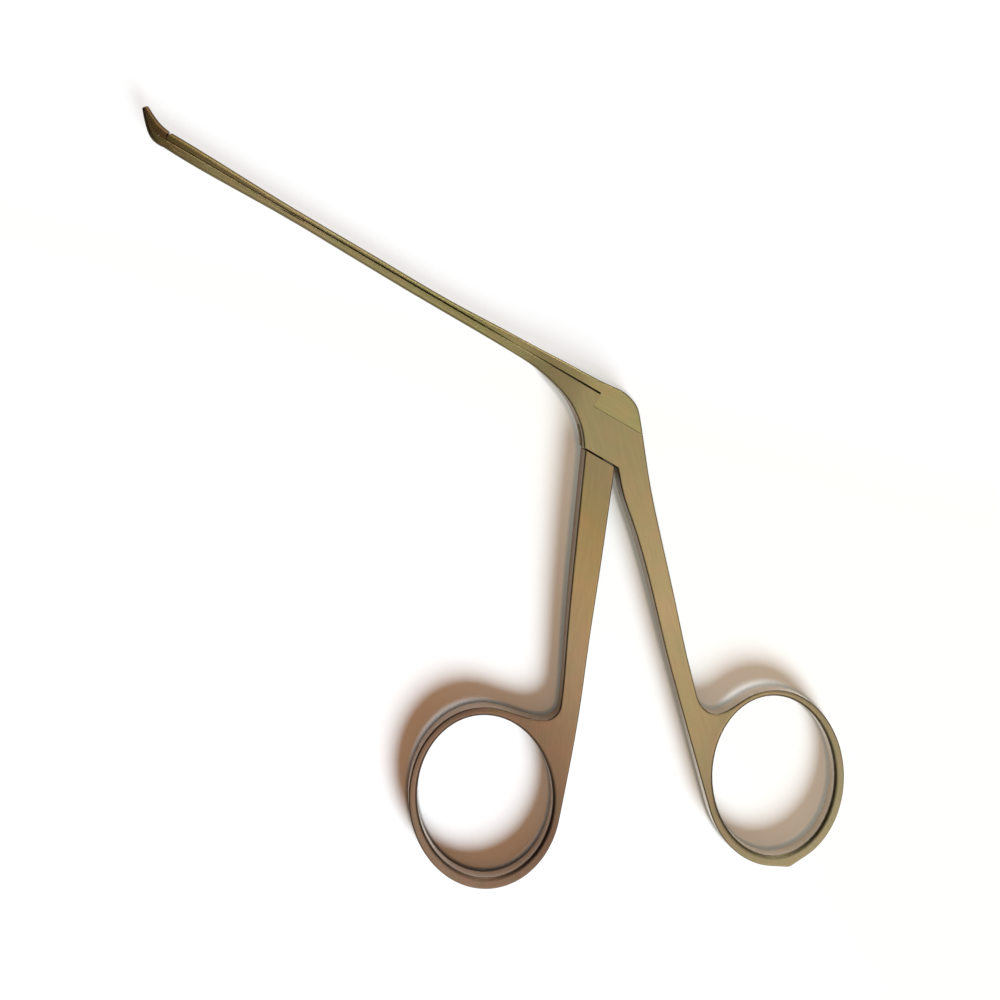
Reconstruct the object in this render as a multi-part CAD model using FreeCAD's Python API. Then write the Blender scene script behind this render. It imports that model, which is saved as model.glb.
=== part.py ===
import FreeCAD, Part
import math
import os

# Alligator ear forceps, lying flat on one side. Millimetres.
# Origin: the handle pivot's axis on the underside. +X runs back along the slide, from the jaws to the
# handles. +Y is the side that the slide and the opening jaw are on. +Z is up, across the flat handles.
V = FreeCAD.Vector

# Overall sizes
plate_thickness = 4.8          # handles, yoke and slide foot across the flats
edge_round = 0.3               # rounding of the long outer edges
working_length = 80.0          # jaw tips to the front of the slide's foot
jaw_length = 5.5               # jaw tips to the slide's front end
beyond = 150.0                 # a cutting space reaches this far, past the whole part

# Shaft: two halves, one on the other, that look like one oval bar
seam_height = 4.62             # seam between the halves, above the handle pivot
shaft_width = 2.0
shaft_round = 0.6
shaft_share = [0.0, 0.12, 0.24, 0.39, 0.56, 0.83, 1.0]      # of the way from yoke to jaws
slide_rise = [1.17, 0.90, 0.71, 0.78, 0.80, 1.08, 1.27]     # slide above the seam there
lower_drop = [1.30, 1.26, 1.27, 1.20, 1.02, 1.19, 1.12]     # lower half below the seam there
sliding_gap = 0.05             # between the two halves, and at every sliding face
seam_chamfer = 0.13
end_chamfer = 0.3              # top corner of the slide's front end

# Beak: both jaws in one, as sections from the slide's end to the tips
beak_behind_tips = [4.18, 3.18, 2.30, 1.50, 0.95, 0.50]
beak_above_seam = [0.17, 0.57, 1.17, 1.78, 2.25, 2.60]
beak_height = [2.55, 2.27, 1.80, 1.41, 1.13, 0.90]
beak_width = [1.97, 1.88, 1.70, 1.45, 1.20, 0.95]
beak_corner = [0.60, 0.55, 0.50, 0.44, 0.40, 0.36]
beak_lean = [12.0, 22.0, 33.0, 38.0, 41.0, 41.0]            # degrees
nose_round = 0.2

# Slide foot and yoke, with the points of their outline from the handle pivot
foot_front = -1.8
foot_seam_height = 2.42
foot_step_round = 0.3
step_gap = 0.02                # foot to the lower shaft's step, closed
flare_start = -17.0            # where the shaft begins to widen into the yoke
full_width_x = -3.0            # where the yoke has the handles' full thickness
flare_plan = [(-13.5, 1.2), (-9.5, 1.75), (-6.0, 2.2)]      # half thickness on the way
slide_top = [(-12.0, 5.96), (-8.0, 6.13), (-1.2, 6.46)]
foot_crest = (0.9, 6.64)       # highest point of the slide's foot
foot_hump = [(2.44, 6.42), (4.0, 5.82)]
foot_back = (5.3, 4.66)        # where the foot's round back turns into the rear handle
yoke_front = [(-0.79, -2.46), (-2.8, -0.45), (-6.03, 1.5), (-10.2, 2.72)]
yoke_stub = (0.95, -5.1)       # past the shoulder, where the front handle takes over
shoulder_depth = 3.85          # below the handle pivot
shoulder_gap = 0.06            # front handle's shoulder under the yoke
shoulder_overlap = 1.35        # front handle drawn past the shoulder before it is cut
shoulder_front = -0.2

# Handles, with the points of their outline from the handle pivot
rear_back = [(11.3, -2.65), (17.06, -8.98), (25.04, -17.3)]
rear_bend = (30.56, -27.59)    # inner edge: the straight run to the ring begins
rear_inner = [(19.5, -16.4), (12.3, -9.75), (8.7, -6.6)]
handle_corner = (6.35, -3.95)  # where the two handles meet behind the shoulder
front_heel = (6.15, -4.6)      # back edge of the front handle under the shoulder
front_edge = (14.1, -33.0)
front_back = [(20.2, -38.3), (17.0, -30.8), (12.72, -20.4)]
rear_handle_run = -45.0        # headings of the two handles, in degrees from +X
front_handle_run = -90.0
taper_start = 9.0              # from the handle pivot: handles thin towards the rings
taper_end = 43.0

# Tongue of the slide and its groove
tongue_neck = 0.6
tongue_foot = 0.95
tongue_depth = 0.5
tongue_front_inset = 14.3      # behind the slide's front end
tongue_rear = -6.0
groove_run_out = 2.0

# Finger rings: an oval hole in a flat band. Pairs are lengthwise and crosswise.
ring_thickness = 3.2
ring_tilt = -55.5              # long axis of the ovals, from the slide's line
ring_inside_round = 0.65       # rounding of the holes, smooth for a finger
front_hole_centre = (14.81, -59.3)
front_hole_size = (26.5, 21.4)
front_band = (1.65, 1.4)
front_ring_shift = (0.13, -0.21)        # outer oval from the hole's centre
rear_hole_centre = (54.07, -34.23)
rear_hole_size = (26.5, 19.9)
rear_band = (1.4, 1.45)
rear_ring_shift = (0.33, -0.23)
ring_heel_round = 1.2

# Where the handles run into the rings, in the outer oval's half-lengths and half-widths from its centre
front_valley = [(-1.01, 1.09), (-0.86, 1.03), (-0.794, 0.9), (-0.828, 0.66)]
front_arrival = (-0.617, 1.26)
rear_valley = [(-1.187, -1.08), (-0.872, -0.954), (-0.799, -0.8), (-0.835, -0.593)]
ring_heel = (1.027, 0.141)              # flat corner on the outside of the rear ring

# Mechanism
jaw_opening = 40.0             # degrees
jaw_pivot_behind_end = 1.23    # jaw pivot behind the slide's front end
jaw_pivot_depth = 0.55         # below the seam
jaw_drive_rise = 0.5           # jaw drive pin above the seam
handle_lever = 4.4             # handle pivot to slide drive pin
handle_pivot_radius = 0.8
drive_pin_radius = 0.5
jaw_pivot_radius = 0.35
jaw_drive_radius = 0.25
pin_clearance = 0.04           # radial, where a pin turns in its hole
small_pin_clearance = 0.03
link_play = 0.03               # extra length at each end of a linkage slot
jaw_rest_gap = 0.06            # moving jaw to the slide's front end, closed
jaw_relief = 0.3               # the same at the top, which swings back as the jaw opens

# Tangs in their slots
handle_tang_thickness = 1.6
handle_boss_radius = 1.7
handle_eye_radius = 0.95
tang_arm_foot = (1.2, 0.5)     # the arm's half width and height where it leaves the boss
tang_root = [(-1.35, -1.0), (1.65, -0.35), (4.0, -3.6), (4.3, -6.0), (2.2, -6.0), (0.85, -3.9)]
pocket_front = [(-0.9, 0.0), (-3.0, -2.15), (-9.0, -2.15)]  # height, and x from the boss's clearance
pocket_back = [(-9.0, 2.55), (-3.8, 2.55), (-0.3, 0.1)]
jaw_tang_thickness = 0.65
jaw_boss_radius = 0.55
jaw_eye_radius = 0.44
jaw_column_half = 0.4
jaw_neck_length = 1.2          # in front of the slide's end
jaw_neck_rise = 0.95           # above the seam
tang_side_clearance = 0.05
tang_swing_clearance = 0.15

# Teeth of the jaws
bite_angle = 37.0
bite_start = 0.55
tooth_pitch = 0.42
tooth_depth = 0.2
tooth_count = 8
bite_gap = 0.04
bite_bend = 0.5                # length of the bend in the bite line, each way

# Sizes that follow
mid = plate_thickness / 2
tip_x = foot_front - working_length
slide_end = tip_x + jaw_length
jaw_pivot = (slide_end + jaw_pivot_behind_end, seam_height - jaw_pivot_depth)
jaw_lever = jaw_pivot_depth + jaw_drive_rise
travel = 2 * jaw_lever * math.tan(math.radians(jaw_opening / 2))
jaw_drive = (jaw_pivot[0] - travel / 2, seam_height + jaw_drive_rise)
handle_swing = 2 * math.degrees(math.atan(travel / 2 / handle_lever))
slide_drive = (-travel / 2, handle_lever)
tongue_front = slide_end + tongue_front_inset
front_ring_size = (front_hole_size[0] + 2 * front_band[0], front_hole_size[1] + 2 * front_band[1])
rear_ring_size = (rear_hole_size[0] + 2 * rear_band[0], rear_hole_size[1] + 2 * rear_band[1])
front_ring_centre = (front_hole_centre[0] + front_ring_shift[0], front_hole_centre[1] + front_ring_shift[1])
rear_ring_centre = (rear_hole_centre[0] + rear_ring_shift[0], rear_hole_centre[1] + rear_ring_shift[1])


def point(p, z=0.0):
    return V(p[0], p[1], z)


def line(a, b):
    return Part.LineSegment(point(a), point(b)).toShape()


def heading(angle):
    """A unit direction in the flat, in degrees from +X."""
    return V(math.cos(math.radians(angle)), math.sin(math.radians(angle)), 0)


def curve(points, start, end):
    """A smooth edge through the points, leaving the first and reaching the last at given headings."""
    spline = Part.BSplineCurve()
    spline.interpolate(Points=[point(p) for p in points],
                       InitialTangent=heading(start), FinalTangent=heading(end))
    return spline.toShape()


def plate(edges, low, high):
    """A flat piece: a closed outline, extruded between two heights."""
    face = Part.Face(Part.Wire(edges))
    face.translate(V(0, 0, low))
    return face.extrude(V(0, 0, high - low))


def polygon(points, low, high):
    closed = list(points) + [points[0]]
    return plate([line(a, b) for a, b in zip(closed, closed[1:])], low, high)


def box(x0, x1, y0, y1, z0=-1.0, z1=plate_thickness + 1.0):
    return Part.makeBox(x1 - x0, y1 - y0, z1 - z0, V(x0, y0, z0))


def cylinder(centre, radius, low=-1.0, high=plate_thickness + 1.0):
    return Part.makeCylinder(radius, high - low, point(centre, low))


def slot(centre, radius, half_length, angle, low, high):
    """A round-ended slot whose long axis is at angle, in degrees from +X."""
    along = V(math.cos(math.radians(angle)), math.sin(math.radians(angle)), 0) * half_length
    first, second = point(centre, low) - along, point(centre, low) + along
    side = V(-along.y, along.x, 0).normalize() * radius
    middle = Part.makePolygon([first + side, second + side, second - side, first - side, first + side])
    bar = Part.Face(middle).extrude(V(0, 0, high - low))
    ends = [Part.makeCylinder(radius, high - low, p) for p in (first, second)]
    return bar.fuse(ends).removeSplitter()


def oval(centre, size, low=0.0, high=plate_thickness):
    """A solid oval disc at the tilt of the rings."""
    ellipse = Part.Ellipse(V(0, 0, 0), size[0] / 2, size[1] / 2).toShape()
    ellipse.rotate(V(0, 0, 0), V(0, 0, 1), ring_tilt)
    ellipse.translate(point(centre, low))
    return Part.Face(Part.Wire([ellipse])).extrude(V(0, 0, high - low))


def ring_point(centre, size, place):
    """A point by how many half-lengths along and half-widths across it lies from a ring's centre."""
    t = math.radians(ring_tilt)
    a, b = place[0] * size[0] / 2, place[1] * size[1] / 2
    return (centre[0] + a * math.cos(t) - b * math.sin(t), centre[1] + a * math.sin(t) + b * math.cos(t))


def heading_between(a, b):
    """The heading from a to b, in degrees from 0 to 360."""
    return math.degrees(math.atan2(b[1] - a[1], b[0] - a[0])) % 360


def tangent_point(centre, size, start, side):
    """Where a line from start touches the oval. side is 1 or -1 for the two such lines."""
    t = math.radians(ring_tilt)
    dx, dy = start[0] - centre[0], start[1] - centre[1]
    u = (dx * math.cos(t) + dy * math.sin(t)) / (size[0] / 2)
    w = (-dx * math.sin(t) + dy * math.cos(t)) / (size[1] / 2)
    angle = math.atan2(w, u) + side * math.acos(1 / math.hypot(u, w))
    return ring_point(centre, size, (math.cos(angle), math.sin(angle)))


def flat_and_wall(edge, shape):
    """Whether an edge lies between a flat side and an upright wall."""
    tilts = []
    for face in shape.ancestorsOfType(edge, Part.Face):
        u, v = face.Surface.parameter(edge.valueAt((edge.FirstParameter + edge.LastParameter) / 2))
        tilts.append(abs(face.normalAt(u, v).z))
    return len(tilts) == 2 and min(tilts) < 0.5 and max(tilts) > 0.9


def outside_edges(shape, skip_x=None):
    """The long edges round both flat sides, without those on a cut end at skip_x."""
    found = []
    for edge in shape.Edges:
        on_end = skip_x is not None and all(abs(v.X - skip_x) < 1e-3 for v in edge.Vertexes)
        if not on_end and flat_and_wall(edge, shape):
            found.append(edge)
    return found


def break_seam(shape, level, x0, x1):
    """Breaks the two outer edges of a seam face that lies at this level, between x0 and x1."""
    edges = []
    for edge in shape.Edges:
        b = edge.BoundBox
        flat = abs(b.YMin - level) < 1e-4 and abs(b.YMax - level) < 1e-4
        outside = b.ZMin > mid + shaft_width / 4 or b.ZMax < mid - shaft_width / 4
        if flat and outside and b.XLength > 0.5 and b.XMin > x0 - 0.01 and b.XMax < x1 + 0.01:
            edges.append(edge)
    return shape.makeChamfer(seam_chamfer, edges)


def upright_edge(shape, near, reach=1.5):
    """The upright edge nearest to a point of the outline."""
    best = None
    for edge in shape.Edges:
        spread = edge.BoundBox
        if spread.XLength < 1e-3 and spread.YLength < 1e-3 and spread.ZLength > 1:
            gap = math.hypot(edge.Vertexes[0].X - near[0], edge.Vertexes[0].Y - near[1])
            if gap < reach and (best is None or gap < best[0]):
                best = (gap, edge)
    return best[1]


def rounded_section(x, y, height, width, corner, lean=0.0):
    """A rounded rectangle across the shaft, as a wire. lean tips it up, in degrees."""
    h, w = height / 2, width / 2
    c = min(corner, 0.98 * h, 0.98 * w)
    k = c * (1 - math.sqrt(0.5))
    spots = [
        (-w + c, h), (w - c, h), (w - k, h - k), (w, h - c),
        (w, -h + c), (w - k, -h + k), (w - c, -h),
        (-w + c, -h), (-w + k, -h + k), (-w, -h + c),
        (-w, h - c), (-w + k, h - k),
    ]
    p = [V(0, b, a + mid) for a, b in spots]
    edges = [
        Part.LineSegment(p[0], p[1]).toShape(),
        Part.Arc(p[1], p[2], p[3]).toShape(),
        Part.LineSegment(p[3], p[4]).toShape(),
        Part.Arc(p[4], p[5], p[6]).toShape(),
        Part.LineSegment(p[6], p[7]).toShape(),
        Part.Arc(p[7], p[8], p[9]).toShape(),
        Part.LineSegment(p[9], p[10]).toShape(),
        Part.Arc(p[10], p[11], p[0]).toShape(),
    ]
    wire = Part.Wire(edges)
    wire.rotate(V(0, 0, mid), V(0, 0, 1), -lean)
    wire.translate(V(x, y, 0))
    return wire


def shaft_blank():
    """Both halves of the slender shaft in one oval bar: waisted at mid-length, fuller at each end."""
    sections = []
    for share, above, below in zip(shaft_share, slide_rise, lower_drop):
        x = flare_start + share * (slide_end - flare_start)
        corner = shaft_round if share else edge_round
        y = seam_height + (above - below) / 2
        sections.append(rounded_section(x, y, above + below, shaft_width, corner))
    return Part.makeLoft(sections, True, False, False, 3)


def beak_blank():
    """Both jaws in one upturned, tapering beak."""
    above, below = slide_rise[-1], lower_drop[-1]
    y = seam_height + (above - below) / 2
    sections = [rounded_section(slide_end, y, above + below, shaft_width, shaft_round)]
    shapes = zip(beak_height, beak_width, beak_corner, beak_lean)
    for back, up, shape in zip(beak_behind_tips, beak_above_seam, shapes):
        sections.append(rounded_section(tip_x + back, seam_height + up, *shape))
    beak = Part.makeLoft(sections, True, False, False, 3)
    nose = []
    for edge in beak.Edges:
        spread = edge.BoundBox
        at_tips = spread.XMax < tip_x + 2 * beak_height[-1]
        if at_tips and spread.YLength < 1.2 * beak_height[-1]:
            nose.append(edge)
    return beak.makeFillet(nose_round, nose)


def plan_taper():
    """What the top view leaves of the yoke: the shaft's width, flaring to the full thickness."""
    profile = [(flare_start, shaft_width / 2)] + flare_plan + [(full_width_x, mid)]
    edge = curve(profile, 0, 0)
    half_face = Part.Face(Part.Wire([
        edge,
        line(profile[-1], (full_width_x, 0)),
        line((full_width_x, 0), (flare_start, 0)),
        line((flare_start, 0), profile[0]),
    ]))
    half_solid = half_face.extrude(V(0, 0, 2 * beyond))
    half_solid.rotate(V(0, 0, 0), V(1, 0, 0), 90)
    half_solid.translate(V(0, beyond, mid))
    other = half_solid.mirror(V(0, 0, mid), V(0, 0, 1))
    return half_solid.fuse(other).removeSplitter()


def thickness_taper(angle):
    """The space between the flat sides of a handle that runs off at this angle and thins to its ring."""
    full, thin = plate_thickness / 2, ring_thickness / 2
    low = curve([(taper_start, -full), (taper_end, -thin)], 0, 0)
    high = curve([(taper_end, thin), (taper_start, full)], 180, 180)
    side = Part.Face(Part.Wire([
        line((-beyond, -full), (taper_start, -full)),
        low,
        line((taper_end, -thin), (beyond, -thin)),
        line((beyond, -thin), (beyond, thin)),
        line((beyond, thin), (taper_end, thin)),
        high,
        line((taper_start, full), (-beyond, full)),
        line((-beyond, full), (-beyond, -full)),
    ]))
    space = side.extrude(V(0, 0, 2 * beyond))
    space.translate(V(0, 0, -beyond))
    space.rotate(V(0, 0, 0), V(1, 0, 0), 90)
    space.rotate(V(0, 0, 0), V(0, 0, 1), angle)
    space.translate(V(0, 0, mid))
    return space


def valley(centre, size, places, side):
    """The points of the hollow where a handle runs into its ring, and the heading it arrives with."""
    spots = [ring_point(centre, size, place) for place in places]
    landing = tangent_point(centre, size, spots[-1], side)
    return spots + [landing], heading_between(spots[-1], landing)


def rear_outline():
    """The side view of slide foot, yoke and rear handle. A stub stands where the front handle takes over."""
    touch = tangent_point(rear_ring_centre, rear_ring_size, rear_bend, 1)
    root, arrival = valley(rear_ring_centre, rear_ring_size, rear_valley, -1)
    top = [(flare_start, seam_height + slide_rise[0])] + slide_top + [foot_crest]
    hump = [foot_crest] + foot_hump + [foot_back]
    inner = [rear_bend] + rear_inner + [handle_corner]
    yoke = [yoke_stub] + yoke_front + [(flare_start, seam_height - lower_drop[0])]
    at_back = heading_between(foot_hump[-1], rear_back[0])
    at_root = heading_between(rear_back[-1], root[1])
    return [
        curve(top, heading_between(top[0], top[1]), 0),
        curve(hump, 0, at_back),
        curve([foot_back] + rear_back + root[:1], at_back, at_root),
        curve(root, at_root, arrival),
        line(root[-1], rear_ring_centre),
        line(rear_ring_centre, touch),
        line(touch, rear_bend),
        curve(inner, heading_between(touch, rear_bend), heading_between(inner[-2], inner[-1])),
        line(handle_corner, yoke_stub),
        curve(yoke, heading_between(yoke[0], yoke[1]), 180),
        line(yoke[-1], top[0]),
    ]


def ring_corner():
    """The flat corner on the rear ring's outside, as a wedge that reaches into the band."""
    heel = ring_point(rear_ring_centre, rear_ring_size, ring_heel)
    first, last = [tangent_point(rear_ring_centre, rear_ring_size, heel, side) for side in (1, -1)]
    wedge = polygon([first, heel, last], 0, plate_thickness)
    return wedge.makeFillet(ring_heel_round, [upright_edge(wedge, heel)])


def rear_blank():
    """Yoke, slide foot and rear handle in one, with rounded edges, before the seams are cut."""
    flat = plate(rear_outline(), 0, plate_thickness)
    full = box(full_width_x, beyond, -beyond, beyond, 0, plate_thickness)
    flat = flat.common(plan_taper().fuse(full))
    ring = oval(rear_ring_centre, rear_ring_size)
    blank = flat.fuse([ring, ring_corner()]).removeSplitter()
    blank = blank.common(thickness_taper(rear_handle_run))
    blank = blank.makeFillet(edge_round, outside_edges(blank, flare_start))
    return ring_hole(blank, rear_hole_centre, rear_hole_size)


def ring_hole(blank, centre, size):
    """Cuts the hole of a finger ring and rounds both its edges."""
    blank = blank.cut(oval(centre, size, -1, plate_thickness + 1))
    edges = []
    for edge in blank.Edges:
        b = edge.BoundBox
        if abs(b.Center.x - centre[0]) < 0.01 and abs(b.Center.y - centre[1]) < 0.01 and b.ZLength < 0.01:
            edges.append(edge)
    return blank.makeFillet(ring_inside_round, edges)


def front_outline():
    """The side view of the front handle's shank, drawn on past the shoulder and into the ring."""
    high = shoulder_overlap - shoulder_depth
    root, arrival = valley(front_ring_centre, front_ring_size, front_valley, 1)
    leaving = ring_point(front_ring_centre, front_ring_size, front_arrival)
    touch = tangent_point(front_ring_centre, front_ring_size, leaving, -1)
    start = (shoulder_front, high)
    top_back = (front_heel[0] - (high - front_heel[1]) / 2, high)
    back = [touch] + front_back + [front_heel]
    at_root = heading_between(front_edge, root[1])
    return [
        curve([start, front_edge, root[0]], heading_between(start, front_edge), at_root),
        curve(root, at_root, arrival),
        line(root[-1], front_ring_centre),
        line(front_ring_centre, touch),
        curve(back, heading_between(touch, leaving), heading_between(back[-2], back[-1])),
        line(front_heel, top_back),
        line(top_back, start),
    ]


def front_blank():
    """The front handle with rounded edges, before the shoulder is cut."""
    flat = plate(front_outline(), 0, plate_thickness)
    blank = flat.fuse(oval(front_ring_centre, front_ring_size)).removeSplitter()
    blank = blank.common(thickness_taper(front_handle_run))
    blank = blank.makeFillet(edge_round, outside_edges(blank))
    return ring_hole(blank, front_hole_centre, front_hole_size)


def seam_side(upper):
    """The space that the slide may fill, or the one below it that is left to the fixed half."""
    shift = sliding_gap / 2 if upper else -sliding_gap / 2
    bar, foot = seam_height + shift, foot_seam_height + shift
    step = foot_front if upper else foot_front - step_gap
    far_y = beyond if upper else -beyond
    outline = [(-beyond, bar), (step, bar), (step, foot), (beyond, foot), (beyond, far_y), (-beyond, far_y)]
    space = polygon(outline, -1, plate_thickness + 1)
    corner = upright_edge(space, (step, foot))
    return space.makeFillet(foot_step_round, [corner])


def dovetail(front, rear, grow=0.0):
    """The tongue under the slide, or with grow its groove in the lower half."""
    top, low = seam_height + 0.2, seam_height - tongue_depth - grow
    neck, foot = tongue_neck / 2 + grow, tongue_foot / 2 + grow
    spots = [(top, neck), (seam_height, neck), (low, foot), (low, -foot), (seam_height, -neck), (top, -neck)]
    wire = Part.makePolygon([V(front, y, mid + z) for y, z in spots + spots[:1]])
    return Part.Face(wire).extrude(V(rear - front, 0, 0))


def bite_line(upper):
    """The toothed line between the jaws, from the seam out past the tips."""
    rise = math.radians(bite_angle)
    out, side = V(-math.cos(rise), math.sin(rise), 0), V(math.sin(rise), math.cos(rise), 0)
    tip = V(tip_x + beak_behind_tips[-1], seam_height + beak_above_seam[-1], 0)
    corner = tip - out * ((tip.y - seam_height) / math.sin(rise))
    bend = bite_bend / math.tan(rise / 2)
    centre = V(corner.x + bite_bend, seam_height + bend, 0)
    middle = centre + V(-math.sin(rise / 2), -math.cos(rise / 2), 0) * bend
    bend_start, bend_end = V(corner.x + bite_bend, seam_height, 0), corner + out * bite_bend
    half = tooth_depth / 2
    teeth = []
    for n in range(tooth_count):
        start = bite_start + n * tooth_pitch
        teeth.append(corner + out * (start + tooth_pitch * 0.25) + side * half)
        teeth.append(corner + out * (start + tooth_pitch * 0.75) - side * half)
    path = [bend_end] + teeth
    path.append(corner + out * (bite_start + tooth_count * tooth_pitch))
    path.append(corner + out * 2 * jaw_length)
    lift = side * (bite_gap / 2 if upper else -bite_gap / 2)
    first = V(slide_end + jaw_length, seam_height, 0) + lift
    edges = [Part.LineSegment(first, bend_start + lift).toShape()]
    edges.append(Part.Arc(bend_start + lift, middle + lift, bend_end + lift).toShape())
    edges += [Part.LineSegment(a + lift, b + lift).toShape() for a, b in zip(path, path[1:])]
    far_y = beyond if upper else -beyond
    last = path[-1] + lift
    around = [last, V(last.x, far_y, 0), V(first.x, far_y, 0), first]
    edges += [Part.LineSegment(a, b).toShape() for a, b in zip(around, around[1:])]
    return plate(edges, -1, plate_thickness + 1)


def handle_tang():
    """The thin upper end of the front handle, which turns in the yoke and moves the slide."""
    low, high = mid - handle_tang_thickness / 2, mid + handle_tang_thickness / 2
    x, y = slide_drive
    foot_x, foot_y = tang_arm_foot
    eye = 0.95 * handle_eye_radius
    arm = [(-foot_x, foot_y), (x - eye, y), (x + eye, y), (foot_x, foot_y)]
    tang = cylinder((0, 0), handle_boss_radius, low, high)
    tang = tang.fuse([
        cylinder(slide_drive, handle_eye_radius, low, high),
        polygon(arm, low, high),
        polygon(tang_root, low, high),
    ])
    half = math.radians(handle_swing / 2)
    reach = (handle_lever + handle_lever / math.cos(half)) / 2
    stretch = (handle_lever / math.cos(half) - handle_lever) / 2 + link_play
    angle = 90 + handle_swing / 2
    place = heading(angle) * reach
    hole = slot((place.x, place.y), drive_pin_radius + pin_clearance, stretch, angle, low - 1, high + 1)
    tang = tang.cut(hole)
    return tang.cut(cylinder((0, 0), handle_pivot_radius + pin_clearance)).removeSplitter()


def jaw_tang():
    """The thin heel of the moving jaw, between the forks of both shaft halves."""
    low, high = mid - jaw_tang_thickness / 2, mid + jaw_tang_thickness / 2
    half = math.radians(jaw_opening / 2)
    longest = jaw_lever / math.cos(half)
    angle = 90 + jaw_opening / 2
    up = heading(angle)
    eye = point(jaw_pivot) + up * longest
    side = heading(angle - 90) * jaw_column_half
    base = point(jaw_pivot)
    column = [base - side, base + side, eye + side, eye - side]
    neck_low, neck_high = seam_height + jaw_rest_gap, seam_height + jaw_neck_rise
    neck_front, neck_rear = slide_end - jaw_neck_length, jaw_pivot[0] - jaw_pivot_radius
    neck = [(neck_front, neck_low), (neck_rear, neck_low), (jaw_drive[0], neck_high), (neck_front, neck_high)]
    tang = cylinder(jaw_pivot, jaw_boss_radius, low, high)
    tang = tang.fuse([
        Part.makeCylinder(jaw_eye_radius, high - low, V(eye.x, eye.y, low)),
        polygon([(p.x, p.y) for p in column], low, high),
        polygon(neck, low, high),
    ])
    middle = point(jaw_pivot) + up * ((jaw_lever + longest) / 2)
    stretch = (longest - jaw_lever) / 2 + link_play
    wide = jaw_drive_radius + small_pin_clearance
    hole = slot((middle.x, middle.y), wide, stretch, angle, low - 1, high + 1)
    tang = tang.cut(cylinder(jaw_pivot, jaw_pivot_radius + small_pin_clearance))
    return tang.cut(hole).removeSplitter()


def slit(x0, x1, y0, y1, thickness):
    """A sawn slit in the middle plane, for a tang of this thickness."""
    half = thickness / 2 + tang_side_clearance
    return box(x0, x1, y0, y1, mid - half, mid + half)


def lower_half():
    """Fixed jaw, lower shaft, yoke and rear handle: one forging."""
    body = rear_blank().common(seam_side(False))
    body = body.cut(box(yoke_front[-1][0], handle_corner[0], 2 * yoke_stub[1], -shoulder_depth))
    shaft = shaft_blank().common(seam_side(False))
    jaw = beak_blank().common(bite_line(False))
    body = body.fuse([shaft, jaw])
    body = break_seam(body, seam_height - sliding_gap / 2, slide_end, foot_front)
    body = break_seam(body, -shoulder_depth, 5 * shoulder_front, handle_corner[0])
    body = body.cut(dovetail(tongue_front - groove_run_out, foot_front + 1, sliding_gap))
    reach = handle_boss_radius + tang_swing_clearance
    half = handle_tang_thickness / 2 + tang_side_clearance
    front = [(-reach + shift, y) for y, shift in pocket_front]
    back = [(reach + shift, y) for y, shift in pocket_back]
    pocket = [(front[0][0], beyond)] + front + back + [(back[-1][0], beyond)]
    body = body.cut(polygon(pocket, mid - half, mid + half))
    rear = jaw_pivot[0] + jaw_lever * math.sin(math.radians(jaw_opening / 2)) + jaw_eye_radius
    front = jaw_pivot[0] - jaw_boss_radius - tang_swing_clearance
    body = body.cut(slit(front, rear + tang_swing_clearance, 0, beyond, jaw_tang_thickness))
    body = body.cut(cylinder((0, 0), handle_pivot_radius))
    return body.cut(cylinder(jaw_pivot, jaw_pivot_radius))


def slide():
    """The upper half of the shaft with its foot, which runs back and forth on the lower half."""
    bar = shaft_blank().common(seam_side(True))
    foot = rear_blank().common(seam_side(True))
    body = bar.fuse(foot)
    body = break_seam(body, seam_height + sliding_gap / 2, slide_end, foot_front)
    body = body.fuse(dovetail(tongue_front, tongue_rear))
    rear = jaw_drive[0] + 2 * jaw_eye_radius + 2 * tang_swing_clearance
    body = body.cut(slit(slide_end - 1, rear, 0, beyond, jaw_tang_thickness))
    top = handle_lever + handle_eye_radius + tang_swing_clearance
    rear = handle_eye_radius + tang_swing_clearance
    body = body.cut(slit(foot_front - 1, rear, 0, top, handle_tang_thickness))
    top = seam_height + slide_rise[-1]
    ahead = slide_end - 1
    nick = [(ahead, top - end_chamfer - 1), (slide_end + end_chamfer + 1, top + 1), (ahead, top + 1)]
    body = body.cut(polygon(nick, -1, plate_thickness + 1))
    body = body.cut(cylinder(slide_drive, drive_pin_radius))
    return body.cut(cylinder(jaw_drive, jaw_drive_radius))


def moving_jaw():
    """The upper jaw with its teeth and heel."""
    jaw = beak_blank().common(bite_line(True))
    near, far = slide_end - jaw_rest_gap, slide_end - jaw_relief
    relief = [(near, 0), (near, seam_height + jaw_relief / 2), (far, seam_height + 2 * jaw_relief),
              (far, beyond), (beyond, beyond), (beyond, 0)]
    jaw = jaw.cut(polygon(relief, -1, plate_thickness + 1))
    return jaw.fuse(jaw_tang()).removeSplitter()


def front_handle():
    """Front handle with its ring and the tang that goes up through the yoke."""
    body = front_blank()
    body = body.cut(box(-beyond, beyond, -shoulder_depth - shoulder_gap, beyond))
    body = break_seam(body, -shoulder_depth - shoulder_gap, 5 * shoulder_front, handle_corner[0])
    return body.fuse(handle_tang()).removeSplitter()


def pieces():
    """Every piece by name."""
    bar = shaft_blank()
    return {
        "rear_handle_and_lower_shaft": lower_half(),
        "sliding_shaft": slide(),
        "front_handle": front_handle(),
        "moving_jaw": moving_jaw(),
        "handle_pivot_pin": cylinder((0, 0), handle_pivot_radius, 0, plate_thickness),
        "slide_drive_pin": cylinder(slide_drive, drive_pin_radius, 0, plate_thickness),
        "jaw_pivot_pin": cylinder(jaw_pivot, jaw_pivot_radius).common(bar),
        "jaw_drive_pin": cylinder(jaw_drive, jaw_drive_radius).common(bar),
    }


def export():
    os.makedirs("parts", exist_ok=True)
    for name, solid in pieces().items():
        solid.exportStep("parts/" + name + ".step")
        print(name, solid.isValid(), len(solid.Solids), round(solid.Volume, 3))


export()
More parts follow.
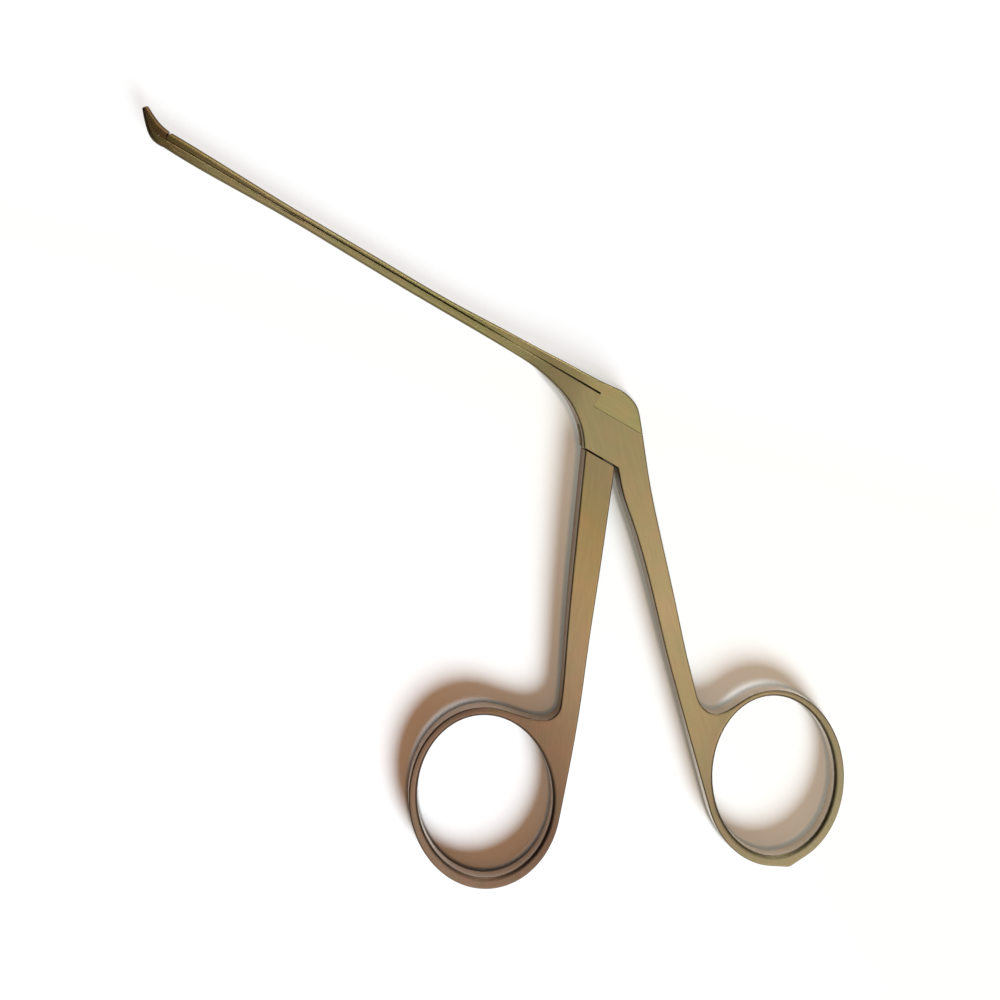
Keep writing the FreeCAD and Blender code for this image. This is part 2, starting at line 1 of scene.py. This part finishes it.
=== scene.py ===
# %% [markdown]
# # Alligator forceps
# A pair of micro ear forceps in satin stainless steel, lying flat on a pale table.
# A slide runs along the top of a slender shaft. Closing the finger rings pushes it forward
# and shuts a small hinged jaw at the tip.
# All the forms come from the construction model. This lesson adds what that model can't say:
# how the steel was ground, how it has coloured, and the light that shows it.

# %% Load the frame
import math
import bpy
from mathutils import Matrix, Vector

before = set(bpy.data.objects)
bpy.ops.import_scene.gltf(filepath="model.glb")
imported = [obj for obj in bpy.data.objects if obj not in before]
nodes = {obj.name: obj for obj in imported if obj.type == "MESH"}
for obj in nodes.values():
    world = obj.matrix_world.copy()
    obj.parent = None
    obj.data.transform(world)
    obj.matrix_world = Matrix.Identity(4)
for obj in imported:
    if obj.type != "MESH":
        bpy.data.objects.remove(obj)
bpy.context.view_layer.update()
print("nodes:", sorted(nodes))

# %% [markdown]
# ## Units and colours
# The frame is in metres, and an instrument maker thinks in millimetres, so one name turns
# one into the other. Colours are written as they would be picked on a screen, in sRGB, and
# one function turns them to the linear values that the renderer works with.

# %% Millimetres and colours
mm = 0.001


def linear(hex_code):
    """The linear colour of an sRGB hex code such as "A39463"."""
    channels = [int(hex_code[i:i + 2], 16) / 255 for i in (0, 2, 4)]
    return [c / 12.92 if c <= 0.04045 else ((c + 0.055) / 1.055) ** 2.4 for c in channels] + [1.0]


print("mid grey is", round(linear("808080")[0], 3), "in linear light")

# %% [markdown]
# ## Adding nodes
# A procedural finish is a small network of nodes. Each one is added with its settings and
# its links in one call, so that a finish reads from top to bottom like a recipe. The steps
# that come back in every finish get short names of their own.

# %% One function for every node, and short names for the usual ones


def add(tree, kind, settings=None, **inputs):
    """Adds a node, sets its properties, and fills each named input with a value or a link."""
    node = tree.nodes.new(kind)
    for name, value in (settings or {}).items():
        setattr(node, name, value)
    for name, value in inputs.items():
        key = int(name[1:]) if name[0] == "i" and name[1:].isdigit() else name.replace("_", " ")
        socket = node.inputs[key]
        if isinstance(value, bpy.types.NodeSocket):
            tree.links.new(value, socket)
        else:
            socket.default_value = value
    return node


def remap(tree, value, start, end, low=0.0, high=1.0, soft=False):
    """A value's way from start to end, as a way from low to high, with soft ends if asked."""
    kind = "SMOOTHSTEP" if soft else "LINEAR"
    return add(tree, "ShaderNodeMapRange", {"interpolation_type": kind}, Value=value,
               From_Min=start, From_Max=end, To_Min=low, To_Max=high).outputs[0]


def mix(tree, share, first, second):
    """A number between the first and the second."""
    return add(tree, "ShaderNodeMix", {"data_type": "FLOAT"}, i0=share, i2=first, i3=second).outputs[0]


def mix_colours(tree, share, first, second, blend="MIX"):
    """A colour between the first and the second."""
    return add(tree, "ShaderNodeMix", {"data_type": "RGBA", "blend_type": blend},
               i0=share, i6=first, i7=second).outputs[2]


def combine(tree, operation, *values):
    """One number from others, by an operation such as MULTIPLY."""
    inputs = {"i" + str(n): value for n, value in enumerate(values)}
    return add(tree, "ShaderNodeMath", {"operation": operation}, **inputs).outputs[0]


def brighten(tree, colour, factor):
    """A colour made lighter or darker by a factor."""
    return add(tree, "ShaderNodeVectorMath", {"operation": "SCALE"}, i0=colour, Scale=factor).outputs[0]


def reach_along(tree, place, heading):
    """How far a place lies along a heading."""
    return add(tree, "ShaderNodeVectorMath", {"operation": "DOT_PRODUCT"},
               i0=place, i1=tuple(heading)).outputs["Value"]


def new_material(name):
    """An empty material and its node tree."""
    material = bpy.data.materials.new(name)
    material.use_nodes = True
    material.node_tree.nodes.clear()
    return material, material.node_tree


short_names = (remap, mix, mix_colours, combine, brighten, reach_along)
print("short names:", ", ".join(short.__name__ for short in short_names))

# %% [markdown]
# ## Colour that drifts along a piece
# The steel is not one colour along the pieces. Here it is dark
# brown at the jaws, olive along the shaft, old gold on the rear handle and a redder brown at
# the front ring. This could be painted on the pieces. A ramp of a few colours along a heading
# is easier to read and to change, and each stop says where it lies in millimetres.

# %% A ramp of colours along a heading


def drift(tree, place, heading, stops):
    """A colour that drifts along a heading, from stops of (millimetres, sRGB colour)."""
    start, end = stops[0][0], stops[-1][0]
    distance = reach_along(tree, place, Vector(heading).normalized())
    part = remap(tree, distance, start * mm, end * mm)
    ramp = add(tree, "ShaderNodeValToRGB", Fac=part)
    elements = ramp.color_ramp.elements
    while len(elements) < len(stops):
        elements.new(0.5)
    for element, (reach, _) in zip(elements, stops):
        element.position = (reach - start) / (end - start)
    for element, (_, colour) in zip(elements, stops):
        element.color = linear(colour)
    return ramp.outputs[0]


rear_colours = [(-82, "5F482B"), (-76, "76643E"), (-68, "A08F63"), (-50, "A6956A"), (-25, "988C5D"),
                (-5, "A09066"), (12, "A79067"), (25, "AC956C"), (38, "A38D66"), (48, "8C7A5C"),
                (64, "958766")]
# Beside the rear ring the wall colour turns pale: a painted highlight of the paper the walls mirror.
rear_walls_and_ring_highlight = [(-80, "6C604C"), (0, "9A8E7C"), (34, "9A8E7C"), (44, "D6CEC2")]
slide_colours = [(-76, "65552F"), (-70, "7A6843"), (-50, "8C7C57"), (-25, "8F8355"), (-8, "A79566"),
                 (3, "A89968")]
slide_walls = [(-76, "6C604C"), (3, "8E8468")]
front_colours = [(3.5, "98855F"), (8.6, "A08658"), (15, "A78A5F"), (22, "A08564"), (32, "8D6E54"),
                 (41, "6E5644"), (54, "826753"), (59, "876E5A")]
# Beside the front ring the wall colour turns pale: a painted highlight of the paper the walls mirror.
front_walls_and_ring_highlight = [(0, "968A7C"), (28, "968A7C"), (40, "C6BAAE")]
jaw_colours = [(-82, "6C5434"), (-75, "5C4428")]
jaw_walls = [(-82, "5C4C38"), (-75, "5C4C38")]
print("the rear piece drifts through", len(rear_colours), "colours from jaw to ring")

# %% [markdown]
# ## Satin-ground stainless steel
# The instrument is hardened stainless steel. Its flat sides are ground on a fine belt, which
# leaves scratches along each handle and a soft sheen. Then the whole piece is tumbled, so its
# edges are rounded and its walls have no scratches. The belt marks could be modelled or
# painted as an image. A stretched noise in the colour and the bump does the same at any
# distance and needs no picture.
# The real scratches are 0.02 mm apart, far too fine for a picture in which a pixel is
# 0.15 mm, so they are drawn 0.35 mm apart, as the faint streaks that show at this size.
#
# Seen from above, each flat side of the handles has a thin dark line round it, where the
# rounded edge turns away from the light. The edge is 0.3 mm wide and mirrors whatever is near,
# so its own colour is made darker as painted shade, and less so on the shaft. The walls below it
# are paler, and beside the rings much paler, as a painted highlight of the white paper they mirror.
#
# Where pieces meet, the seams are darkened as painted shade. An ambient
# occlusion node finds those places in the shape itself, so the dark line follows every seam.

# %% Satin-ground steel
scratch_spacing = 0.35 * mm
scratch_stretch = 14         # how much longer than wide a scratch is
scratch_contrast = (0.94, 1.05)
scratch_depth = 0.01 * mm
cloud_size = 3.5 * mm        # the uneven colour that heat and handling leave
cool_cast = (0.95, 1.01, 0.98, 1.0)
warm_cast = (1.05, 0.99, 1.0, 1.0)
grain_size = 0.5 * mm
grain_in_sheen = (-0.03, 0.04)
joint_start = -22 * mm       # from here to the joint the shaft's look turns into the handles'
joint_end = -6 * mm
shaft_edge_shade_share = 0.5       # of the flat side's colour, on a rounded edge
shaft_seam_shade_share = 0.1
seam_reach = 0.4 * mm
seam_shade_colour = linear("1C130B")


def ground_colour(tree, place, scratches, heading, stops):
    """The colour of a flat side: its drift, clouds and scratches."""
    clouds = add(tree, "ShaderNodeTexNoise", Vector=place, Scale=1 / cloud_size, Detail=3.0)
    warmth = remap(tree, clouds.outputs["Fac"], 0.35, 0.65)
    cast = mix_colours(tree, warmth, cool_cast, warm_cast)
    tinted = mix_colours(tree, 1.0, drift(tree, place, heading, stops), cast, "MULTIPLY")
    return brighten(tree, tinted, remap(tree, scratches, 0.3, 0.7, *scratch_contrast))


def satin_steel(name, heading, stops, wall_stops, run_angle, edge_shade_share=0.28, roughness=0.38,
                wall_roughness=0.50):
    """Stainless steel with flat sides ground along run_angle, rounded edges darkened as painted shade,
    and plain walls whose pale stops paint a highlight.
    """
    material, tree = new_material(name)
    place = add(tree, "ShaderNodeTexCoord").outputs["Object"]
    along = add(tree, "ShaderNodeMapping", {"vector_type": "TEXTURE"}, Vector=place,
                Rotation=(0, 0, math.radians(run_angle)), Scale=(scratch_stretch, 1, 1))
    scratches = add(tree, "ShaderNodeTexNoise", Vector=along.outputs[0], Scale=1 / scratch_spacing,
                    Detail=3.0, Roughness=0.6).outputs["Fac"]
    face_colour = ground_colour(tree, place, scratches, heading, stops)

    # How upright the surface's normal is tells flat sides, rounded edges and walls apart.
    normal = add(tree, "ShaderNodeNewGeometry").outputs["Normal"]
    lift = combine(tree, "ABSOLUTE", add(tree, "ShaderNodeSeparateXYZ", Vector=normal).outputs["Z"])
    off_the_flat = remap(tree, lift, 0.97, 0.80, soft=True)
    wall = remap(tree, lift, 0.50, 0.15, soft=True)
    east = add(tree, "ShaderNodeSeparateXYZ", Vector=place).outputs["X"]
    at_joint = remap(tree, east, joint_start, joint_end)
    # Painted shade: the rounded edges take a darker copy of the flat side's colour.
    shaded_edge_colour = brighten(tree, face_colour, mix(tree, at_joint, shaft_edge_shade_share, edge_shade_share))
    # The walls take their own colours, whose pale stops beside the rings are a painted highlight.
    outline_colour = mix_colours(tree, wall, shaded_edge_colour, drift(tree, place, heading, wall_stops))
    steel_before_seam_shade = mix_colours(tree, off_the_flat, face_colour, outline_colour)

    # Painted shade: seams and narrow crevices turn dark, less so on the shaft.
    crevice = add(tree, "ShaderNodeAmbientOcclusion", {"samples": 8}, Distance=seam_reach)
    depth = remap(tree, crevice.outputs["AO"], 0.72, 0.98, 1.0, 0.0)
    seam_shade = combine(tree, "MULTIPLY", depth, mix(tree, at_joint, shaft_seam_shade_share, 1.0))
    steel = mix_colours(tree, seam_shade, steel_before_seam_shade, seam_shade_colour)

    # A fine grain in the roughness breaks up the sheen of the flat sides.
    grain = add(tree, "ShaderNodeTexNoise", Vector=place, Scale=1 / grain_size, Detail=2.0)
    smoothest, roughest = (roughness + change for change in grain_in_sheen)
    sheen = remap(tree, grain.outputs["Fac"], 0.3, 0.7, smoothest, roughest)
    bump = add(tree, "ShaderNodeBump", Height=scratches, Strength=0.12, Distance=scratch_depth)
    shader = add(tree, "ShaderNodeBsdfPrincipled", Base_Color=steel, Metallic=1.0,
                 Roughness=mix(tree, off_the_flat, sheen, wall_roughness), Normal=bump.outputs[0])
    add(tree, "ShaderNodeOutputMaterial", Surface=shader.outputs[0])
    return material


# The belt runs along each handle: the angle after the wall colours is its angle from the shaft.
rear_steel = satin_steel("satin_ground_stainless_rear", (1, 0, 0), rear_colours, rear_walls_and_ring_highlight, -45)
slide_steel = satin_steel("satin_ground_stainless_slide", (1, 0, 0), slide_colours, slide_walls, 0,
                          edge_shade_share=0.2)
front_steel = satin_steel("satin_ground_stainless_front", (-0.5, -1, 0), front_colours, front_walls_and_ring_highlight, -66)
# The jaw is too small for the belt. It is finished by hand, which leaves it darker and duller.
jaw_steel = satin_steel("hardened_stainless_jaw", (1, 0, 0), jaw_colours, jaw_walls, 40,
                        roughness=0.42, wall_roughness=0.40)

# %% [markdown]
# Each pin is riveted and then ground on the same belt as the piece around it, so that it
# hardly shows. So it takes that piece's steel.

# %% A steel for each piece
finishes = {
    "rear_handle_and_lower_shaft": rear_steel,
    "sliding_shaft": slide_steel,
    "front_handle": front_steel,
    "moving_jaw": jaw_steel,
    "handle_pivot_pin": rear_steel,
    "slide_drive_pin": slide_steel,
    "jaw_pivot_pin": rear_steel,
    "jaw_drive_pin": slide_steel,
}
for name, material in finishes.items():
    for material_slot in nodes[name].material_slots:
        material_slot.material = material
print("finished", len(finishes), "pieces in", len(set(finishes.values())), "steels")

# %% [markdown]
# ## The table
# The forceps lie on smooth white paper. The photographer let the paper burn out: it is pure
# white, and the shadows fade the further they lie from the front ring, until beside the shaft
# hardly one is left. That could be done with more light, but the metal would turn pale too.
# Here the paper itself glows a little where it is seen or mirrored, and lights nothing.
# Close beside the metal, where no light gets in, a thin dark contact shadow is painted into the paper's
# colour.

# %% The table
table_reach = 3.0
paper_white = linear("FAFAFA")
painted_contact_shadow = linear("3C2C22")
contact_shadow_reach = 1.2 * mm
warm_glow = (1.0, 0.95, 0.79, 1.0)
white_glow = (1.0, 1.0, 1.0, 1.0)
shaft_glow_share = 0.78

table_mesh = bpy.data.meshes.new("table")
corners = [(x * table_reach, y * table_reach, 0) for x, y in ((-1, -1), (1, -1), (1, 1), (-1, 1))]
table_mesh.from_pydata(corners, [], [(0, 1, 2, 3)])
table = bpy.data.objects.new("table", table_mesh)
bpy.context.scene.collection.objects.link(table)

paper, tree = new_material("smooth_white_paper")
place = add(tree, "ShaderNodeTexCoord").outputs["Object"]
ray = add(tree, "ShaderNodeLightPath")
# The shadows are strong at the front ring, weaker at the rear one and weakest at the shaft.
ring_glow = remap(tree, reach_along(tree, place, (0.5, 1, 0)), -52 * mm, -7 * mm, 0.02, 0.26)
near_shaft = remap(tree, reach_along(tree, place, (-0.25, 1, 0)), -3 * mm, 10 * mm)
glow_share = mix(tree, near_shaft, ring_glow, shaft_glow_share)
seen = combine(tree, "MAXIMUM", ray.outputs["Is Camera Ray"], ray.outputs["Is Glossy Ray"])
glow_seen = combine(tree, "MULTIPLY", glow_share, seen)

# Painted shadow: the camera sees the paper turn dark where the metal is close above it.
shelter = add(tree, "ShaderNodeAmbientOcclusion", {"samples": 16}, Distance=contact_shadow_reach)
contact_shadow_share = remap(tree, shelter.outputs["AO"], 0.72, 0.94, 1.0, 0.0, soft=True)
contact_shadow_share = combine(tree, "MULTIPLY", contact_shadow_share, ray.outputs["Is Camera Ray"])
diffuse = add(tree, "ShaderNodeBsdfDiffuse", Color=mix_colours(tree, contact_shadow_share, paper_white, painted_contact_shadow))
glow = add(tree, "ShaderNodeEmission", Color=mix_colours(tree, near_shaft, warm_glow, white_glow),
           Strength=1.0)
sheet = add(tree, "ShaderNodeMixShader", Fac=glow_seen, i1=diffuse.outputs[0], i2=glow.outputs[0])
add(tree, "ShaderNodeOutputMaterial", Surface=sheet.outputs[0])
table_mesh.materials.append(paper)
print("the table is", 2 * table_reach, "m wide")

# %% [markdown]
# ## Light
# One large soft window stands to the right, so each shadow falls up and to the left and fades
# within a few millimetres. The metal doesn't mirror it: its bright spots would hide the satin.
# Its light is cool, and what reaches the shadows is brown, as it comes from a wooden room.

# %% The window
window_light = bpy.data.lights.new("window", "SUN")
window_light.energy = 5.7
window_light.angle = math.radians(28)
window_light.color = (0.80, 0.92, 1.0)
window = bpy.data.objects.new("window", window_light)
light_heading = Vector((-0.87, 0.49, -0.68))
window.rotation_euler = light_heading.to_track_quat("-Z", "Y").to_euler()
window.visible_glossy = False
bpy.context.scene.collection.objects.link(window)
window_height = math.degrees(math.asin(-light_heading.normalized().z))
print("the window stands", round(window_height), "degrees above the table")

# %% [markdown]
# ## The room
# What the metal mirrors is a room of its own: an even grey, a lighter ceiling, bright patches
# on three sides that draw the pale lines, and a dark doorway that draws the dark lines on the
# left edges. Panels could be set up around the table for this. Patches of the world do the
# same and can't cast a shadow or get in the way of the camera. The paper gets only the brown
# light, also where the metal throws light back on it, and the camera sees plain white.

# %% The room
world = bpy.data.worlds.new("studio")
bpy.context.scene.world = world
world.use_nodes = True
tree = world.node_tree
tree.nodes.clear()
ray = add(tree, "ShaderNodeLightPath")
direction = add(tree, "ShaderNodeTexCoord").outputs["Generated"]


def patch(heading, start, end, level):
    """A soft round patch of the room: 0 where it starts, its level from its end inwards."""
    return remap(tree, reach_along(tree, direction, Vector(heading).normalized()), start, end,
                 0.0, level, soft=True)


room_level = 0.55
ceiling = patch((0.30, -0.06, 0.95), 0.80, 1.0, 0.42)
window_side = patch((0.85, -0.40, 0.35), 0.60, 0.95, 1.0)
far_side = patch((-0.29, 0.89, 0.33), 0.90, 0.97, 7.0)
near_side = patch((0.0, -0.87, 0.5), 0.60, 0.92, 0.6)
doorway = patch((-0.80, -0.29, 0.52), 0.55, 0.85, 0.97)
lit = room_level
for glow in (ceiling, window_side, far_side, near_side):
    lit = combine(tree, "ADD", lit, glow)
mirrored_level = combine(tree, "MULTIPLY", lit, combine(tree, "SUBTRACT", 1.0, doorway))

fill = add(tree, "ShaderNodeBackground", Color=(0.33, 0.175, 0.09, 1.0), Strength=1.0)
mirrored = add(tree, "ShaderNodeBackground", Color=(1, 1, 1, 1), Strength=mirrored_level)
white = add(tree, "ShaderNodeBackground", Color=(1, 1, 1, 1), Strength=1.0)
no_paper_before = combine(tree, "LESS_THAN", ray.outputs["Diffuse Depth"], 0.5)
in_metal = combine(tree, "MULTIPLY", ray.outputs["Is Glossy Ray"], no_paper_before)
for_metal = add(tree, "ShaderNodeMixShader", Fac=in_metal, i1=fill.outputs[0], i2=mirrored.outputs[0])
for_all = add(tree, "ShaderNodeMixShader", Fac=ray.outputs["Is Camera Ray"],
              i1=for_metal.outputs[0], i2=white.outputs[0])
add(tree, "ShaderNodeOutputWorld", Surface=for_all.outputs[0])
print("the room has", len(tree.nodes), "nodes")

# %% [markdown]
# ## Camera
# The photographer stood over the table and leaned a little, so the camera is nearly
# overhead, tilted by nine degrees. Its place and aim were found by matching the outline.

# %% Camera
camera_place = Vector((-38.4, -3.2, 223.1)) * mm
camera_aim = Vector((-6.35, -17.46, 0.0)) * mm
picture_up = Vector((-0.48774, 0.86394, -0.12537))
camera_data = bpy.data.cameras.new("camera")
camera_data.sensor_width = 36.0
camera_data.lens = 36.0 * 1.442
camera_data.clip_start = 0.01
camera = bpy.data.objects.new("camera", camera_data)
forward = (camera_aim - camera_place).normalized()
right = forward.cross(picture_up).normalized()
up = right.cross(forward)
turned = Matrix((right, up, -forward)).transposed().to_4x4()
camera.matrix_world = Matrix.Translation(camera_place) @ turned
bpy.context.scene.collection.objects.link(camera)
bpy.context.scene.camera = camera
bpy.context.scene.view_settings.view_transform = "Standard"
print("camera is", round(camera_place.z / mm), "mm above the table")
